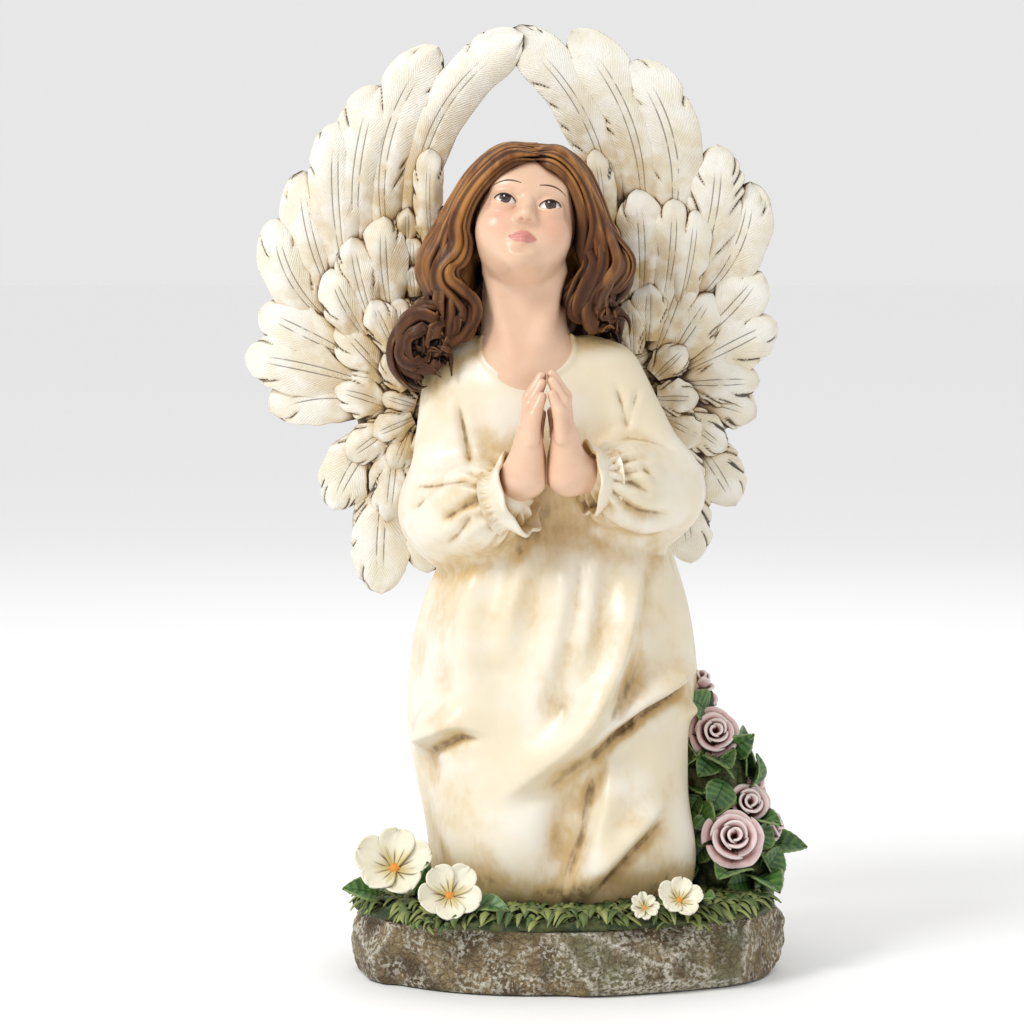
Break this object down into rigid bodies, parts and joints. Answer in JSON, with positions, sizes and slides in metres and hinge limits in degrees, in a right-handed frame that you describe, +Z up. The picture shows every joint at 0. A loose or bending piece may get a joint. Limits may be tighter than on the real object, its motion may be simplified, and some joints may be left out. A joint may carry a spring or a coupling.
{
  "type": "angel figurine",
  "caption": "Kneeling angel figurine with praying hands and raised feathered wings, on a rock base with grass, white blossoms and a climbing rose.",
  "frame": {"origin": "on the resting plane, the underside of the felt, at a point under the robe about 2 mm from the middle of its width; not the centre of the box or of mass", "axes": "+Z up, the figure faces -Y, +X to the right as seen from the front"},
  "size_m": [0.1824, 0.114, 0.305],
  "materials": {
    "stone_paint": "matte resin painted as rough stone with pale dry-brushed edges",
    "turf_paint": "satin resin painted grass green over a dark wash",
    "robe_paint": "satin ivory resin with an umber wash in the folds",
    "skin_paint": "smooth satin skin tone",
    "hair_paint": "satin chestnut brown with lighter ridges",
    "wing_paint": "satin ivory resin with a dark wash between the feathers",
    "rose_paint": "matte dusty pink with pale petal edges",
    "leaf_paint": "satin leaf green with a dark wash in the veins",
    "blossom_paint": "matte cream with an orange eye",
    "felt": "dark green felt",
    "steel": "plain steel"
  },
  "bodies": {
    "root": {"base_felt": "felt", "base_rock": "stone_paint", "base_turf": "turf_paint", "blossom_large": "blossom_paint", "blossom_medium": "blossom_paint", "blossom_right": "blossom_paint", "daisy": "blossom_paint", "ground_leaf_1": "leaf_paint", "ground_leaf_2": "leaf_paint", "ground_leaf_3": "leaf_paint", "ground_leaf_4": "leaf_paint", "ground_leaf_5": "leaf_paint", "hair": "hair_paint", "head": "skin_paint", "left_cuff": "robe_paint", "left_hand": "skin_paint", "left_sleeve": "robe_paint", "left_wing": "wing_paint", "left_wing_dowel": "steel", "right_cuff": "robe_paint", "right_hand": "skin_paint", "right_sleeve": "robe_paint", "right_wing": "wing_paint", "right_wing_dowel": "steel", "robe_body": "robe_paint", "rose_back": "rose_paint", "rose_bud_top": "rose_paint", "rose_front": "rose_paint", "rose_leaf_01": "leaf_paint", "rose_leaf_02": "leaf_paint", "rose_leaf_03": "leaf_paint", "rose_leaf_04": "leaf_paint", "rose_leaf_05": "leaf_paint", "rose_leaf_06": "leaf_paint", "rose_leaf_07": "leaf_paint", "rose_leaf_08": "leaf_paint", "rose_leaf_09": "leaf_paint", "rose_leaf_10": "leaf_paint", "rose_middle": "rose_paint", "rose_side_bud": "rose_paint", "rose_stem": "leaf_paint", "rose_upper": "rose_paint"}
  },
  "joints": []
}
